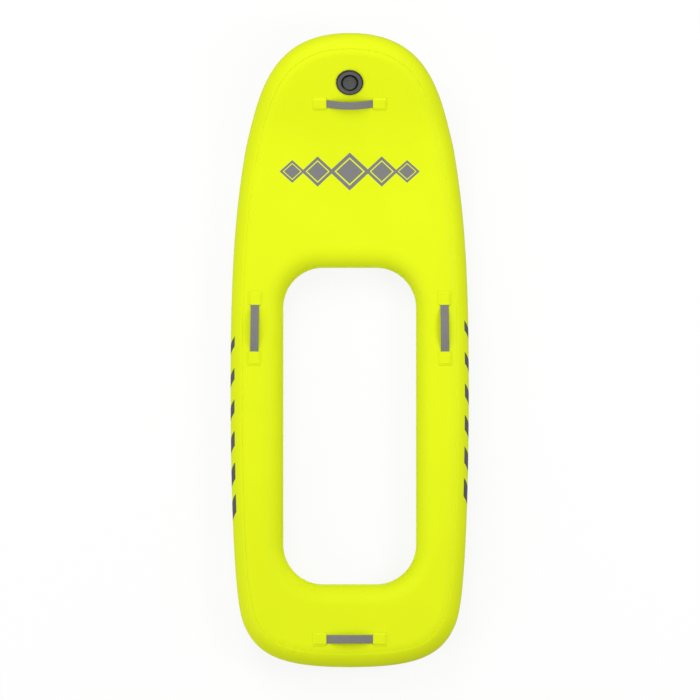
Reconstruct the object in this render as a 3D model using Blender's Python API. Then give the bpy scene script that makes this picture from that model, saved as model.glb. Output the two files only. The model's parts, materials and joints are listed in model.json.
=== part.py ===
"""Inflatable collar board of an electric foil craft, open in the middle for its rigid hull.

The board is a drop-stitch air chamber. A deck skin and a hull skin lie 120 mm apart and are
tied together by yarns. Their edges roll round the rail, where a welded band laps them, and
round the cut-out, where a tape joins them. Four webbing handles and one inflation valve are
fixed to the deck.

The fabric is drawn laid flat: x runs across, s runs along from tail to nose, and h rises
from the middle of the thickness. One bend, the rocker, then rolls the nose up. In the world
+X is starboard, +Y is the nose and +Z is up, in metres, and the board lies on z = 0.
"""
import math
from bisect import bisect

import bmesh
import bpy
import numpy as np
from mathutils import Matrix, Vector

MM = 0.001
FULL_TURN = 2.0 * math.pi

# Air chamber
LENGTH = 1.800
HALF_THICKNESS = 0.060
NOSE_THINNING = 0.015
FABRIC = 1.2 * MM
GAP = 0.3 * MM
BAND_OUTSIDE = GAP + FABRIC

# Rocker: flat from the tail, one arc, then a straight ramp to the tip
ROCKER_START = 0.412
ROCKER_RADIUS = 0.660
ROCKER_ANGLE = math.radians(27.0)
ROCKER_LENGTH = ROCKER_RADIUS * ROCKER_ANGLE
ROCKER_END = ROCKER_START + ROCKER_LENGTH
ROCKER_ROWS = np.linspace(ROCKER_START, ROCKER_END, 7)
THINNING_START = ROCKER_ROWS[3]

# Centre line of the outer rail, laid flat: half of it, nose to tail
NOSE_RADIUS = HALF_THICKNESS - NOSE_THINNING + BAND_OUTSIDE
RAMP_START_Y = ROCKER_START + ROCKER_RADIUS * math.sin(ROCKER_ANGLE)
NOSE_S = ROCKER_END + (LENGTH / 2 - NOSE_RADIUS - RAMP_START_Y) / math.cos(ROCKER_ANGLE)
TAIL_S = -(LENGTH / 2 - HALF_THICKNESS - BAND_OUTSIDE)
SHOULDER = (0.226, 0.611)
BEAM = (0.277, -0.110)
QUARTER = (0.243, -0.757)
RAIL_CHAIN = (
    ((0.000, NOSE_S), (0.167, NOSE_S), (0.198, 0.763), SHOULDER),
    (SHOULDER, (0.264, 0.408), (0.277, 0.243), BEAM),
    (BEAM, (0.277, -0.331), (0.270, -0.698), QUARTER),
    (QUARTER, (0.222, -0.804), (0.195, TAIL_S), (0.000, TAIL_S)),
)
STATION_LENGTH = 0.120
STATION_TURN = math.radians(13.0)

# Cut-out: the clear opening between its walls
CUTOUT_WIDTH = 0.377
CUTOUT_NOSE_Y = 0.2345
CUTOUT_TAIL_Y = -0.6645
CUTOUT_CORNER = 0.1136
CUTOUT_ARC_STEPS = 6
CUTOUT_SIDE_STEPS = 6
CUTOUT_END_STEPS = 2
FINE = 12

# Where the fabric edges lie, as angles up the rounded sides
RAIL_SEAM = math.radians(62.0)
TAIL_SEAM = math.radians(68.0)
TAIL_SEAM_START = -0.60
TAIL_SEAM_LENGTH = 0.20
SKIN_LAP = math.radians(42.0)
TAPE_EDGE = math.radians(20.0)
SKIN_BUTT = math.radians(1.5)

# Butt joints across the board that part the skins and the band into panels
SKIN_JOINTS = (-0.657, -0.500, 0.080, 0.227, 0.390, 0.697)
SKIN_PANELS = ("tail", "{}_quarter", "{}", "{}_shoulder", "fore", "bend", "nose")
BAND_JOINTS = (-0.560, 0.390, 0.697)
BAND_PANELS = ("tail", "{}", "{}_bend", "nose")

# Yarns between the skins
YARN_SIDE = 2.4 * MM
YARN_COLUMN = 0.2635 / 4
YARN_COLUMNS = 4
YARN_ROW = 0.082
YARN_MARGIN = 8.0 * MM
YARN_VALVE_MARGIN = 45.0 * MM
YARN_TWIST = math.radians(37.0)
CLOTH = 1.0 * MM
CLOTH_EDGE = 5.0 * MM
CLOTH_CLEARANCE = 1.5 * MM
YARN_CLEARANCE = 0.4 * MM

# Handles: 25 mm webbing with a square patch welded over each end
WEBBING_WIDTH = 23.6 * MM
WEBBING_THICKNESS = 2.2 * MM
HANDLE_OPEN = 132.0 * MM
HANDLE_ARCH = 12.2 * MM
ARCH_HALF = 62.0 * MM
ARCH_EASE = 0.08
STRAP_HALF = 98.0 * MM
STRAP_STEPS = 20
PATCH_SIZE = 40.0 * MM
PATCH_CORNER = 3.0 * MM
PATCH_THICKNESS = 1.0 * MM
PATCH_TOE = 3.2 * MM
SEAT = 0.5 * MM
SIDE_HANDLE_X = 0.270
SIDE_HANDLE_S = 0.063
SIDE_HANDLE_TOE_IN = math.radians(0.8)
NOSE_HANDLE_S = 0.7356
TAIL_HANDLE_S = -0.8196

# Valve, along its own axis from the deck's outer face
VALVE_S = 0.8023
VALVE_HOLE = 30.5 * MM
VALVE_STEPS = 28
SLEEVE_BORE = 25.0
SLEEVE_OUTSIDE = 27.2
FLANGE_OUTSIDE = 38.75
FLANGE_TOP = 5.0
FLANGE_UNDERSIDE = 2.1
SLEEVE_END = -14.0
CHAMFER = 0.8
NECK_OUTSIDE = 16.5
NECK_BORE = 12.5
NECK_TOP = 3.0
SEAT_FACE = -15.5
FLOOR_TOP = -12.5
GUIDE_TOP = -9.0
GUIDE_BOTTOM = -12.0
GUIDE_STEP = 0.5
GUIDE_BORE = 2.9
GUIDE_OUTSIDE = 5.6
GUIDE_ARM = 2.4
STEM_RADIUS = 2.4
BUTTON_RADIUS = 6.0
BUTTON_BASE = 0.4
BUTTON_TOP = 3.4
RIB_START = 0.5
RIB_END = 4.5
RIB_WIDTH = 1.8
RIB_ROOT = 0.6
RIB_HEIGHT = 1.0
SPRING_RADIUS = 4.2
SPRING_WIRE = 0.8
SPRING_COILS = 3.5
SPRING_POINTS_PER_COIL = 9
CAP_LOWER_RADIUS = 19.0
CAP_UPPER_RADIUS = 15.8
CAP_STEP = 9.6
CAP_TOP = 14.4
CAP_CROWN = 6.4
CAP_END = -9.5
CAP_SEAL_INSIDE = 13.4
CAP_SEAL_OUTSIDE = 16.2
CAP_SEAL_HALF = 1.3
CAP_SEAL_MIDDLE = NECK_TOP + 1.7
THREAD_GAP = 0.6
SCREW_GAP = 0.4
NUT_TOP = -1.6
NUT_BOTTOM = -9.0
NUT_OUTSIDE = 34.0
NUT_LUG = 2.4
NUT_LUG_PITCH = 4
GASKET_OUTSIDE = 37.4
GASKET_TOP = 1.75
GASKET_BOTTOM = 0.35
STEM_FOOT_TOP = -20.8
STEM_FOOT_BOTTOM = -22.4
STEM_FOOT_RADIUS = 4.0
POPPET_RADIUS = 17.6
POPPET_HUB = 9.6
POPPET_TOP = -16.2
POPPET_SHELF = -18.0
POPPET_BOTTOM = -20.4
POPPET_SEAL_INSIDE = 10.9
POPPET_SEAL_OUTSIDE = 16.4
POPPET_SEAL_TOP = -15.9
POPPET_SEAL_BOTTOM = -17.6
SLIDE_GAP = 0.3


def clear_scene():
    for thing in list(bpy.data.objects):
        bpy.data.objects.remove(thing, do_unlink=True)


def make_material(name, colour, roughness, metallic=0.0):
    material = bpy.data.materials.new(name)
    material.use_nodes = True
    shader = material.node_tree.nodes["Principled BSDF"]
    shader.inputs["Base Color"].default_value = (*colour, 1.0)
    shader.inputs["Roughness"].default_value = roughness
    shader.inputs["Metallic"].default_value = metallic
    return material


def add_node(name, bm, material, parent=None, sharp_angle=40.0):
    mesh = bpy.data.meshes.new(name)
    bm.to_mesh(mesh)
    bm.free()
    mesh.materials.append(material)
    mesh.shade_smooth()
    mesh.set_sharp_from_angle(angle=math.radians(sharp_angle))
    node = bpy.data.objects.new(name, mesh)
    bpy.context.scene.collection.objects.link(node)
    node.parent = parent
    return node


def thicken(node, thickness, outward):
    """Gives a sheet its thickness, on the side its faces point to or on the other side."""
    modifier = node.modifiers.new("Thickness", "SOLIDIFY")
    modifier.thickness = thickness
    modifier.offset = 1.0 if outward else -1.0
    modifier.use_even_offset = True
    modifier.use_quality_normals = True


# The rocker and the thickness

def rocker(x, s, h):
    """Rolls a laid-flat point up into the world."""
    turn = min(max(s - ROCKER_START, 0.0), ROCKER_LENGTH) / ROCKER_RADIUS
    ramp = max(s - ROCKER_END, 0.0)
    reach = ROCKER_RADIUS - h
    y = min(s, ROCKER_START) + reach * math.sin(turn) + ramp * math.cos(turn)
    z = HALF_THICKNESS + ROCKER_RADIUS - reach * math.cos(turn) + ramp * math.sin(turn)
    return Vector((x, y, z))


def cut_at_rows(bm, rows):
    """Cuts a laid-flat mesh right across along each row."""
    for row in rows:
        everything = bm.verts[:] + bm.edges[:] + bm.faces[:]
        bmesh.ops.bisect_plane(bm, geom=everything, dist=1e-6, plane_co=(0.0, row, 0.0),
                               plane_no=(0.0, 1.0, 0.0))


def roll_up(bm):
    for vertex in bm.verts:
        vertex.co = rocker(*vertex.co)


def face_out(bm):
    """Turns the faces of a closed solid outward."""
    bmesh.ops.recalc_face_normals(bm, faces=bm.faces[:])
    if bm.calc_volume(signed=True) < 0.0:
        bmesh.ops.reverse_faces(bm, faces=bm.faces[:])


def half_thickness(s):
    share = (s - THINNING_START) / (NOSE_S - THINNING_START)
    return HALF_THICKNESS - NOSE_THINNING * min(max(share, 0.0), 1.0)


# Stations: x, s and the direction (x, s) in which the rounded side bulges

def rail_point(t):
    """Point and outward direction on the rail's centre line, t from 0 at the nose to 4."""
    segment = min(int(t), len(RAIL_CHAIN) - 1)
    a, b, c, d = (Vector(point) for point in RAIL_CHAIN[segment])
    t -= segment
    u = 1.0 - t
    point = a * u ** 3 + b * 3 * u * u * t + c * 3 * u * t * t + d * t ** 3
    along = ((b - a) * u * u + (c - b) * 2 * u * t + (d - c) * t * t).normalized()
    return point.x, point.y, -along.y, along.x


def mirrored_loop(half):
    """Closes a starboard half, nose to tail, with its port mirror image."""
    port = [(-x, s, -nx, ns) for x, s, nx, ns in reversed(half[1:-1])]
    return half + port


def rail_stations(refine=1):
    """Stations spaced by length and by turn, and on each bend row of the rocker."""
    fine = np.linspace(0.0, len(RAIL_CHAIN), 801)
    points = np.array([rail_point(t) for t in fine])
    steps = np.hypot(*np.diff(points[:, :2], axis=0).T)
    headings = np.unwrap(np.arctan2(points[:, 2], points[:, 3]))
    efforts = steps / STATION_LENGTH + np.abs(np.diff(headings)) / STATION_TURN
    effort = np.concatenate([[0.0], np.cumsum(efforts)])
    count = int(round(effort[-1])) * refine
    even = np.interp(np.linspace(0.0, effort[-1], count + 1), effort, fine)
    rows = np.interp(-ROCKER_ROWS[::-1], -points[:, 1], fine)
    clear = 0.4 * len(RAIL_CHAIN) / count
    outside = [t for t in even if t < rows.min() - clear or t > rows.max() + clear]
    return mirrored_loop([rail_point(t) for t in sorted([*outside, *rows])])


def cutout_stations(refine=1):
    """Centre line of the cut-out's rounded wall, anticlockwise from its starboard side."""
    radius = CUTOUT_CORNER + HALF_THICKNESS + BAND_OUTSIDE
    half_straight = CUTOUT_WIDTH / 2 - CUTOUT_CORNER
    middle = (CUTOUT_NOSE_Y + CUTOUT_TAIL_Y) / 2
    long_straight = (CUTOUT_NOSE_Y - CUTOUT_TAIL_Y) / 2 - CUTOUT_CORNER
    arc_steps = CUTOUT_ARC_STEPS * refine
    stations = []
    for quarter, (side, end) in enumerate(((1, 1), (-1, 1), (-1, -1), (1, -1))):
        x, s = side * half_straight, middle + end * long_straight
        for step in range(arc_steps + 1):
            angle = (quarter + step / arc_steps) * math.pi / 2
            c, n = math.cos(angle), math.sin(angle)
            stations.append((x + radius * c, s + radius * n, -c, -n))
        straight = 2 * (long_straight if quarter % 2 else half_straight)
        parts = (CUTOUT_SIDE_STEPS if quarter % 2 else CUTOUT_END_STEPS) * refine
        for part in range(1, parts):
            along = straight * part / parts
            stations.append((x + radius * c - n * along, s + radius * n + c * along, -c, -n))
    return stations


# Angles up the rounded sides, shared by the skins and the bands so that they stay parallel

def seam_angle(s):
    share = min(max((TAIL_SEAM_START - s) / TAIL_SEAM_LENGTH, 0.0), 1.0)
    return RAIL_SEAM + (TAIL_SEAM - RAIL_SEAM) * share * share * (3.0 - 2.0 * share)


def skin_rail_angles(s):
    seam = seam_angle(s)
    return (math.pi / 2 + seam) / 2, seam, SKIN_LAP


def band_rail_angles(s):
    upper = (seam_angle(s), SKIN_LAP, SKIN_LAP / 2)
    return *upper, 0.0, *(-angle for angle in reversed(upper))


def skin_cutout_angles(s):
    steps = 4
    turns = [math.pi / 2 + (TAPE_EDGE - math.pi / 2) * i / steps for i in range(1, steps + 1)]
    return *turns, SKIN_BUTT


def tape_angles(s):
    return TAPE_EDGE, SKIN_BUTT, -SKIN_BUTT, -TAPE_EDGE


def side_point(station, angle, outside=0.0):
    x, s, nx, ns = station
    radius = half_thickness(s) + outside
    reach = radius * math.cos(angle)
    return x + nx * reach, s + ns * reach, radius * math.sin(angle)


def add_side(bm, stations, angles_at, outside=0.0, first_ring=None):
    """Rings of vertices down a rounded side, bridged by faces that point outward."""
    upper = first_ring
    for row in zip(*(angles_at(station[1]) for station in stations)):
        points = [side_point(station, angle, outside) for station, angle in zip(stations, row)]
        lower = [bm.verts.new(point) for point in points]
        if upper:
            for i in range(len(lower)):
                j = (i + 1) % len(lower)
                bm.faces.new((upper[i], upper[j], lower[j], lower[i]))
        upper = lower
    return upper


# Fabric

def add_panels(name, bm, joints, panels, material):
    """Parts a laid-flat sheet at its joints, rolls it up and makes a node of each panel."""
    cut_at_rows(bm, [joint + side * GAP / 2 for joint in joints for side in (-1, 1)])
    marks = bm.faces.layers.int.new("panel")
    names = []
    strips = []
    for face in bm.faces:
        middle = face.calc_center_bounds()
        if min(abs(middle.y - joint) for joint in joints) < GAP / 2:
            strips.append(face)
            continue
        side = "starboard" if middle.x > 0.0 else "port"
        panel = panels[bisect(joints, middle.y)].format(side)
        if panel not in names:
            names.append(panel)
        face[marks] = names.index(panel)
    bmesh.ops.delete(bm, geom=strips, context="FACES")
    roll_up(bm)
    for index, panel in enumerate(names):
        sheet = bm.copy()
        others = [face for face in sheet.faces if face[sheet.faces.layers.int["panel"]] != index]
        bmesh.ops.delete(sheet, geom=others, context="FACES")
        thicken(add_node(f"{name}_{panel}", sheet, material), FABRIC, outward=False)
    bm.free()


def add_ring(bm, points):
    ring = [bm.verts.new((x, s, 0.0)) for x, s in points]
    edges = [bm.edges.new(pair) for pair in zip(ring, ring[1:] + ring[:1])]
    return ring, edges


def circle(x, s, radius, steps, start=0.0):
    turns = [start + FULL_TURN * i / steps for i in range(steps)]
    return [(x + radius * math.cos(a), s + radius * math.sin(a)) for a in turns]


def make_skin(name, side, rail, cutout, material, holes=()):
    """Deck (side 1) or hull (side -1): a flat field whose edges roll round the sides."""
    bm = bmesh.new()
    rail_ring, edges = add_ring(bm, [station[:2] for station in rail])
    cutout_ring, more = add_ring(bm, [station[:2] for station in cutout])
    edges += more
    for hole in holes:
        edges += add_ring(bm, hole)[1]
    bmesh.ops.triangle_fill(bm, edges=edges, use_beauty=True, normal=(0.0, 0.0, 1.0))
    cut_at_rows(bm, ROCKER_ROWS)
    bmesh.ops.recalc_face_normals(bm, faces=bm.faces[:])
    if bm.faces[:][0].normal.z < 0.0:
        bmesh.ops.reverse_faces(bm, faces=bm.faces[:])
    for vertex in bm.verts:
        vertex.co.z = half_thickness(vertex.co.y)
    add_side(bm, rail, skin_rail_angles, first_ring=rail_ring)
    add_side(bm, cutout, skin_cutout_angles, first_ring=cutout_ring)
    if side < 0:
        bmesh.ops.scale(bm, vec=(1.0, 1.0, -1.0), verts=bm.verts[:])
        bmesh.ops.reverse_faces(bm, faces=bm.faces[:])
    add_panels(name, bm, SKIN_JOINTS, SKIN_PANELS, material)


def make_rail_band(name, rail, material):
    bm = bmesh.new()
    add_side(bm, rail, band_rail_angles, outside=BAND_OUTSIDE)
    add_panels(name, bm, BAND_JOINTS, BAND_PANELS, material)


def make_tape(name, cutout, material):
    bm = bmesh.new()
    add_side(bm, cutout, tape_angles, outside=BAND_OUTSIDE)
    roll_up(bm)
    thicken(add_node(name, bm, material), FABRIC, outward=False)


class Reach:
    """How far a laid-flat point lies past a centre line, on its rounded side."""

    def __init__(self, stations):
        self.stations = np.array(stations)

    def past(self, x, s):
        away = np.array((x, s)) - self.stations[:, :2]
        nearest = int(np.argmin((away ** 2).sum(axis=1)))
        return float(away[nearest] @ self.stations[nearest, 2:])


def yarn_places(rail_reach, cutout_reach):
    """Footprints on a grid, kept where the fabric is flat and clear of the valve."""
    places = []
    rows = int(LENGTH / 2 / YARN_ROW)
    for row in range(-rows, rows + 1):
        for column in range(-YARN_COLUMNS, YARN_COLUMNS + 1):
            x, s = column * YARN_COLUMN, row * YARN_ROW
            on_flat = max(rail_reach.past(x, s), cutout_reach.past(x, s)) < -YARN_MARGIN
            if on_flat and math.hypot(x, s - VALVE_S) > YARN_VALVE_MARGIN:
                places.append((x, s))
    return places


def make_yarns(name, rail, cutout, rail_reach, cutout_reach, material):
    """The base cloth inside the hull skin, with the yarns that stand up from it."""
    bm = bmesh.new()
    outlines = [[(x - nx * CLOTH_EDGE, s - ns * CLOTH_EDGE) for x, s, nx, ns in stations]
                for stations in (rail, cutout)]
    lower = []
    upper = []
    for outline in outlines:
        low_ring, low_edges = add_ring(bm, outline)
        high_ring, high_edges = add_ring(bm, outline)
        lower += low_edges
        upper += high_edges
        for vertex in high_ring:
            vertex.co.z = CLOTH
        for i in range(len(outline)):
            j = (i + 1) % len(outline)
            bm.faces.new((low_ring[i], low_ring[j], high_ring[j], high_ring[i]))
    tops = []
    for index, (x, s) in enumerate(yarn_places(rail_reach, cutout_reach)):
        corners = circle(x, s, YARN_SIDE / math.sqrt(2.0), 4, start=index * YARN_TWIST)
        foot, foot_edges = add_ring(bm, corners)
        top = add_ring(bm, corners)[0]
        for vertex in foot + top:
            vertex.co.z = CLOTH
        upper += foot_edges
        tops += top
        for i in range(4):
            j = (i + 1) % 4
            bm.faces.new((foot[i], foot[j], top[j], top[i]))
        bm.faces.new(top)
    for edges in (lower, upper):
        bmesh.ops.triangle_fill(bm, edges=edges, use_beauty=True, normal=(0.0, 0.0, 1.0))
    cut_at_rows(bm, ROCKER_ROWS)
    raised = set(tops)
    for vertex in bm.verts:
        inside = half_thickness(vertex.co.y) - FABRIC
        if vertex in raised:
            vertex.co.z = inside - YARN_CLEARANCE
        else:
            vertex.co.z += CLOTH_CLEARANCE - inside
    roll_up(bm)
    face_out(bm)
    return add_node(name, bm, material)


# Handles, drawn along u, across v and up w, and laid on the deck

class DeckPlace:
    """A place on the laid-flat deck, turned by an angle from x towards s."""

    def __init__(self, x, s, angle, reaches):
        self.x, self.s = x, s
        self.cos, self.sin = math.cos(angle), math.sin(angle)
        self.reaches = reaches

    def lay(self, u, v, w):
        x = self.x + u * self.cos - v * self.sin
        s = self.s + u * self.sin + v * self.cos
        radius = half_thickness(s)
        past = max(0.0, *(reach.past(x, s) for reach in self.reaches))
        return rocker(x, s, math.sqrt(radius ** 2 - past ** 2) + w)


def arch_height(u):
    """A parabola that eases into the deck at both ends."""
    rise = max(1.0 - (u / ARCH_HALF) ** 2, 0.0)
    return HANDLE_ARCH * (1.0 + ARCH_EASE) * rise ** 2 / (rise + ARCH_EASE)


def make_strap(name, place, material):
    """Webbing, flat under its patches and arched between them so that a hand goes under."""
    bm = bmesh.new()
    grid = bmesh.ops.create_grid(bm, x_segments=STRAP_STEPS, y_segments=2, size=0.5)
    for vertex in grid["verts"]:
        u = vertex.co.x * 2 * STRAP_HALF
        v = vertex.co.y * WEBBING_WIDTH
        vertex.co = place.lay(u, v, SEAT + arch_height(u))
    strap = add_node(name, bm, material)
    thicken(strap, WEBBING_THICKNESS, outward=True)
    return strap


def make_patch(name, place, end, material):
    """A rounded square of fabric draped over one end of a strap, end 1 or -1 along u."""
    inner = HANDLE_OPEN / 2
    crest = STRAP_HALF + SEAT
    side_crest = WEBBING_WIDTH / 2 + SEAT
    u_lines = (inner, crest, crest + PATCH_TOE, inner + PATCH_SIZE)
    v_half = (side_crest, side_crest + PATCH_TOE, PATCH_SIZE / 2)
    v_lines = (*(-v for v in reversed(v_half)), *v_half)
    bm = bmesh.new()
    rows = [[bm.verts.new((u, v, 0.0)) for v in v_lines] for u in u_lines]
    for row, following in zip(rows, rows[1:]):
        for i in range(len(v_lines) - 1):
            bm.faces.new((row[i], following[i], following[i + 1], row[i + 1]))
    corners = [rows[0][0], rows[0][-1], rows[-1][0], rows[-1][-1]]
    bmesh.ops.bevel(bm, geom=corners, offset=PATCH_CORNER, segments=2, affect="VERTICES",
                    profile=0.5)
    over_strap = WEBBING_THICKNESS + 2 * SEAT
    for vertex in bm.verts:
        u, v = vertex.co.x, vertex.co.y
        on_crest = u < crest + 0.5 * PATCH_TOE and abs(v) < side_crest + 0.5 * PATCH_TOE
        vertex.co = place.lay(u * end, v, over_strap if on_crest else SEAT)
    if end < 0:
        bmesh.ops.reverse_faces(bm, faces=bm.faces[:])
    patch = add_node(name, bm, material)
    thicken(patch, PATCH_THICKNESS, outward=True)
    return patch


# Valve, turned in millimetres about its own axis

def turned(name, profile, material, parent, steps=VALVE_STEPS):
    """Turns a profile of (radius, height) points about the axis; it may touch the axis."""
    bm = bmesh.new()
    points = [bm.verts.new((radius * MM, 0.0, height * MM)) for radius, height in profile]
    chain = list(zip(points, points[1:]))
    if min(radius for radius, height in profile) > 0.0:
        chain.append((points[-1], points[0]))
    edges = [bm.edges.new(pair) for pair in chain]
    bmesh.ops.spin(bm, geom=points + edges, cent=(0.0, 0.0, 0.0), axis=(0.0, 0.0, 1.0),
                   angle=FULL_TURN, steps=steps, use_merge=True)
    bmesh.ops.remove_doubles(bm, verts=bm.verts[:], dist=1e-6)
    face_out(bm)
    return add_node(name, bm, material, parent)


def join_to(node, addition):
    """Unites a hidden helper solid with a node."""
    addition.hide_render = True
    addition.display_type = "WIRE"
    modifier = node.modifiers.new("Union", "BOOLEAN")
    modifier.operation = "UNION"
    modifier.solver = "EXACT"
    modifier.object = addition


def add_bars(name, inner, outer, width, bottom, top, headings, material, parent):
    """Bars from an inner to an outer radius along each heading, in millimetres."""
    bm = bmesh.new()
    for heading in headings:
        bar = bmesh.ops.create_cube(bm, size=1.0)["verts"]
        bmesh.ops.scale(bm, vec=((outer - inner) * MM, width * MM, (top - bottom) * MM), verts=bar)
        middle = ((outer + inner) / 2 * MM, 0.0, (top + bottom) / 2 * MM)
        bmesh.ops.translate(bm, vec=middle, verts=bar)
        bmesh.ops.rotate(bm, matrix=Matrix.Rotation(heading, 3, "Z"), verts=bar)
    return add_node(name, bm, material, parent)


def make_flange(parent, material):
    """The outer ring: a flange on the deck and a sleeve down through it."""
    profile = (
        (SLEEVE_BORE, FLANGE_TOP - CHAMFER), (SLEEVE_BORE + CHAMFER, FLANGE_TOP),
        (FLANGE_OUTSIDE - 2 * CHAMFER, FLANGE_TOP),
        (FLANGE_OUTSIDE, FLANGE_TOP - 2 * CHAMFER),
        (FLANGE_OUTSIDE, FLANGE_UNDERSIDE), (SLEEVE_OUTSIDE, FLANGE_UNDERSIDE),
        (SLEEVE_OUTSIDE, SLEEVE_END), (SLEEVE_BORE, SLEEVE_END),
    )
    return turned("valve_flange", profile, material, parent, steps=32)


def make_back_nut(parent, material):
    """Clamps the deck skin from inside; its rim has lugs for a spanner."""
    inner = SLEEVE_OUTSIDE + SCREW_GAP
    profile = ((inner, NUT_TOP), (NUT_OUTSIDE, NUT_TOP), (NUT_OUTSIDE, NUT_BOTTOM),
               (inner, NUT_BOTTOM))
    nut = turned("valve_back_nut", profile, material, parent)
    for vertex in nut.data.vertices:
        on_rim = math.hypot(vertex.co.x, vertex.co.y) > (inner + NUT_OUTSIDE) / 2 * MM
        sector = round(math.atan2(vertex.co.y, vertex.co.x) * VALVE_STEPS / FULL_TURN)
        if on_rim and sector % NUT_LUG_PITCH < NUT_LUG_PITCH / 2:
            vertex.co.xy *= 1.0 + NUT_LUG / NUT_OUTSIDE
    return nut


def make_insert(parent, material):
    """Screws into the sleeve: a floor, the neck that the cap goes on, and the stem's guide."""
    rim = SLEEVE_BORE - SCREW_GAP
    profile = (
        (NECK_BORE + CHAMFER, NECK_TOP), (NECK_OUTSIDE - CHAMFER, NECK_TOP),
        (NECK_OUTSIDE, NECK_TOP - CHAMFER), (NECK_OUTSIDE, FLOOR_TOP), (rim, FLOOR_TOP),
        (rim, SEAT_FACE), (NECK_BORE + CHAMFER, SEAT_FACE), (NECK_BORE, SEAT_FACE + CHAMFER),
        (NECK_BORE, NECK_TOP - CHAMFER),
    )
    insert = turned("valve_insert", profile, material, parent)
    arms = add_bars("guide_arms", (GUIDE_BORE + GUIDE_OUTSIDE) / 2,
                    (NECK_BORE + NECK_OUTSIDE) / 2, GUIDE_ARM, GUIDE_BOTTOM + GUIDE_STEP,
                    GUIDE_TOP - GUIDE_STEP, [FULL_TURN * i / 3 for i in range(3)],
                    material, parent)
    hub = turned("guide_hub", ((0.0, GUIDE_TOP), (GUIDE_OUTSIDE, GUIDE_TOP),
                               (GUIDE_OUTSIDE, GUIDE_BOTTOM), (0.0, GUIDE_BOTTOM)),
                 material, parent, steps=16)
    bore_top, bore_bottom = GUIDE_TOP + CHAMFER, GUIDE_BOTTOM - CHAMFER
    bore = turned("guide_bore", ((0.0, bore_top), (GUIDE_BORE, bore_top),
                                 (GUIDE_BORE, bore_bottom), (0.0, bore_bottom)),
                  material, parent, steps=16)
    join_to(insert, arms)
    join_to(insert, hub)
    join_to(insert, bore)
    insert.modifiers[-1].operation = "DIFFERENCE"
    return insert


def make_stem(parent, material):
    """The button with a pointer rib, its rod through the guide, and the poppet's foot."""
    profile = (
        (0.0, BUTTON_TOP), (BUTTON_RADIUS - CHAMFER, BUTTON_TOP),
        (BUTTON_RADIUS, BUTTON_TOP - CHAMFER), (BUTTON_RADIUS, BUTTON_BASE),
        (STEM_RADIUS, BUTTON_BASE), (STEM_RADIUS, STEM_FOOT_TOP),
        (STEM_FOOT_RADIUS, STEM_FOOT_TOP), (STEM_FOOT_RADIUS, STEM_FOOT_BOTTOM),
        (0.0, STEM_FOOT_BOTTOM),
    )
    stem = turned("valve_stem", profile, material, parent, steps=16)
    rib = add_bars("button_rib", RIB_START, RIB_END, RIB_WIDTH, BUTTON_TOP - RIB_ROOT,
                   BUTTON_TOP + RIB_HEIGHT, (0.0,), material, parent)
    join_to(stem, rib)
    return stem


def make_poppet(parent, material):
    """The disc that closes the seat from inside the board."""
    bore = STEM_RADIUS + SLIDE_GAP
    profile = (
        (bore, POPPET_TOP), (POPPET_HUB, POPPET_TOP), (POPPET_HUB, POPPET_SHELF),
        (POPPET_RADIUS - CHAMFER, POPPET_SHELF), (POPPET_RADIUS, POPPET_SHELF - CHAMFER),
        (POPPET_RADIUS, POPPET_BOTTOM), (bore, POPPET_BOTTOM),
    )
    return turned("valve_poppet", profile, material, parent)


def make_spring(parent, material):
    """Sits on the guide and holds the button up."""
    low = GUIDE_TOP + SLIDE_GAP + SPRING_WIRE / 2
    high = BUTTON_BASE - SLIDE_GAP - SPRING_WIRE / 2
    count = int(SPRING_COILS * SPRING_POINTS_PER_COIL) + 1
    curve = bpy.data.curves.new("valve_spring", "CURVE")
    curve.dimensions = "3D"
    curve.bevel_depth = SPRING_WIRE / 2 * MM
    curve.bevel_resolution = 1
    curve.use_fill_caps = True
    curve.materials.append(material)
    spline = curve.splines.new("POLY")
    spline.points.add(count - 1)
    for index, point in enumerate(spline.points):
        share = index / (count - 1)
        turn = share * SPRING_COILS * FULL_TURN
        x, y = SPRING_RADIUS * math.cos(turn), SPRING_RADIUS * math.sin(turn)
        point.co = (x * MM, y * MM, (low + (high - low) * share) * MM, 1.0)
    spring = bpy.data.objects.new("valve_spring", curve)
    bpy.context.scene.collection.objects.link(spring)
    spring.parent = parent
    return spring


def make_cap(parent, material):
    """A stepped knob whose skirt screws on the neck."""
    bore = NECK_OUTSIDE + THREAD_GAP
    profile = (
        (0.0, CAP_TOP), (CAP_UPPER_RADIUS - CHAMFER, CAP_TOP),
        (CAP_UPPER_RADIUS, CAP_TOP - CHAMFER), (CAP_UPPER_RADIUS, CAP_STEP),
        (CAP_LOWER_RADIUS - CHAMFER, CAP_STEP), (CAP_LOWER_RADIUS, CAP_STEP - CHAMFER),
        (CAP_LOWER_RADIUS, CAP_END), (bore, CAP_END), (bore, CAP_CROWN), (0.0, CAP_CROWN),
    )
    return turned("valve_cap", profile, material, parent, steps=32)


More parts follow.
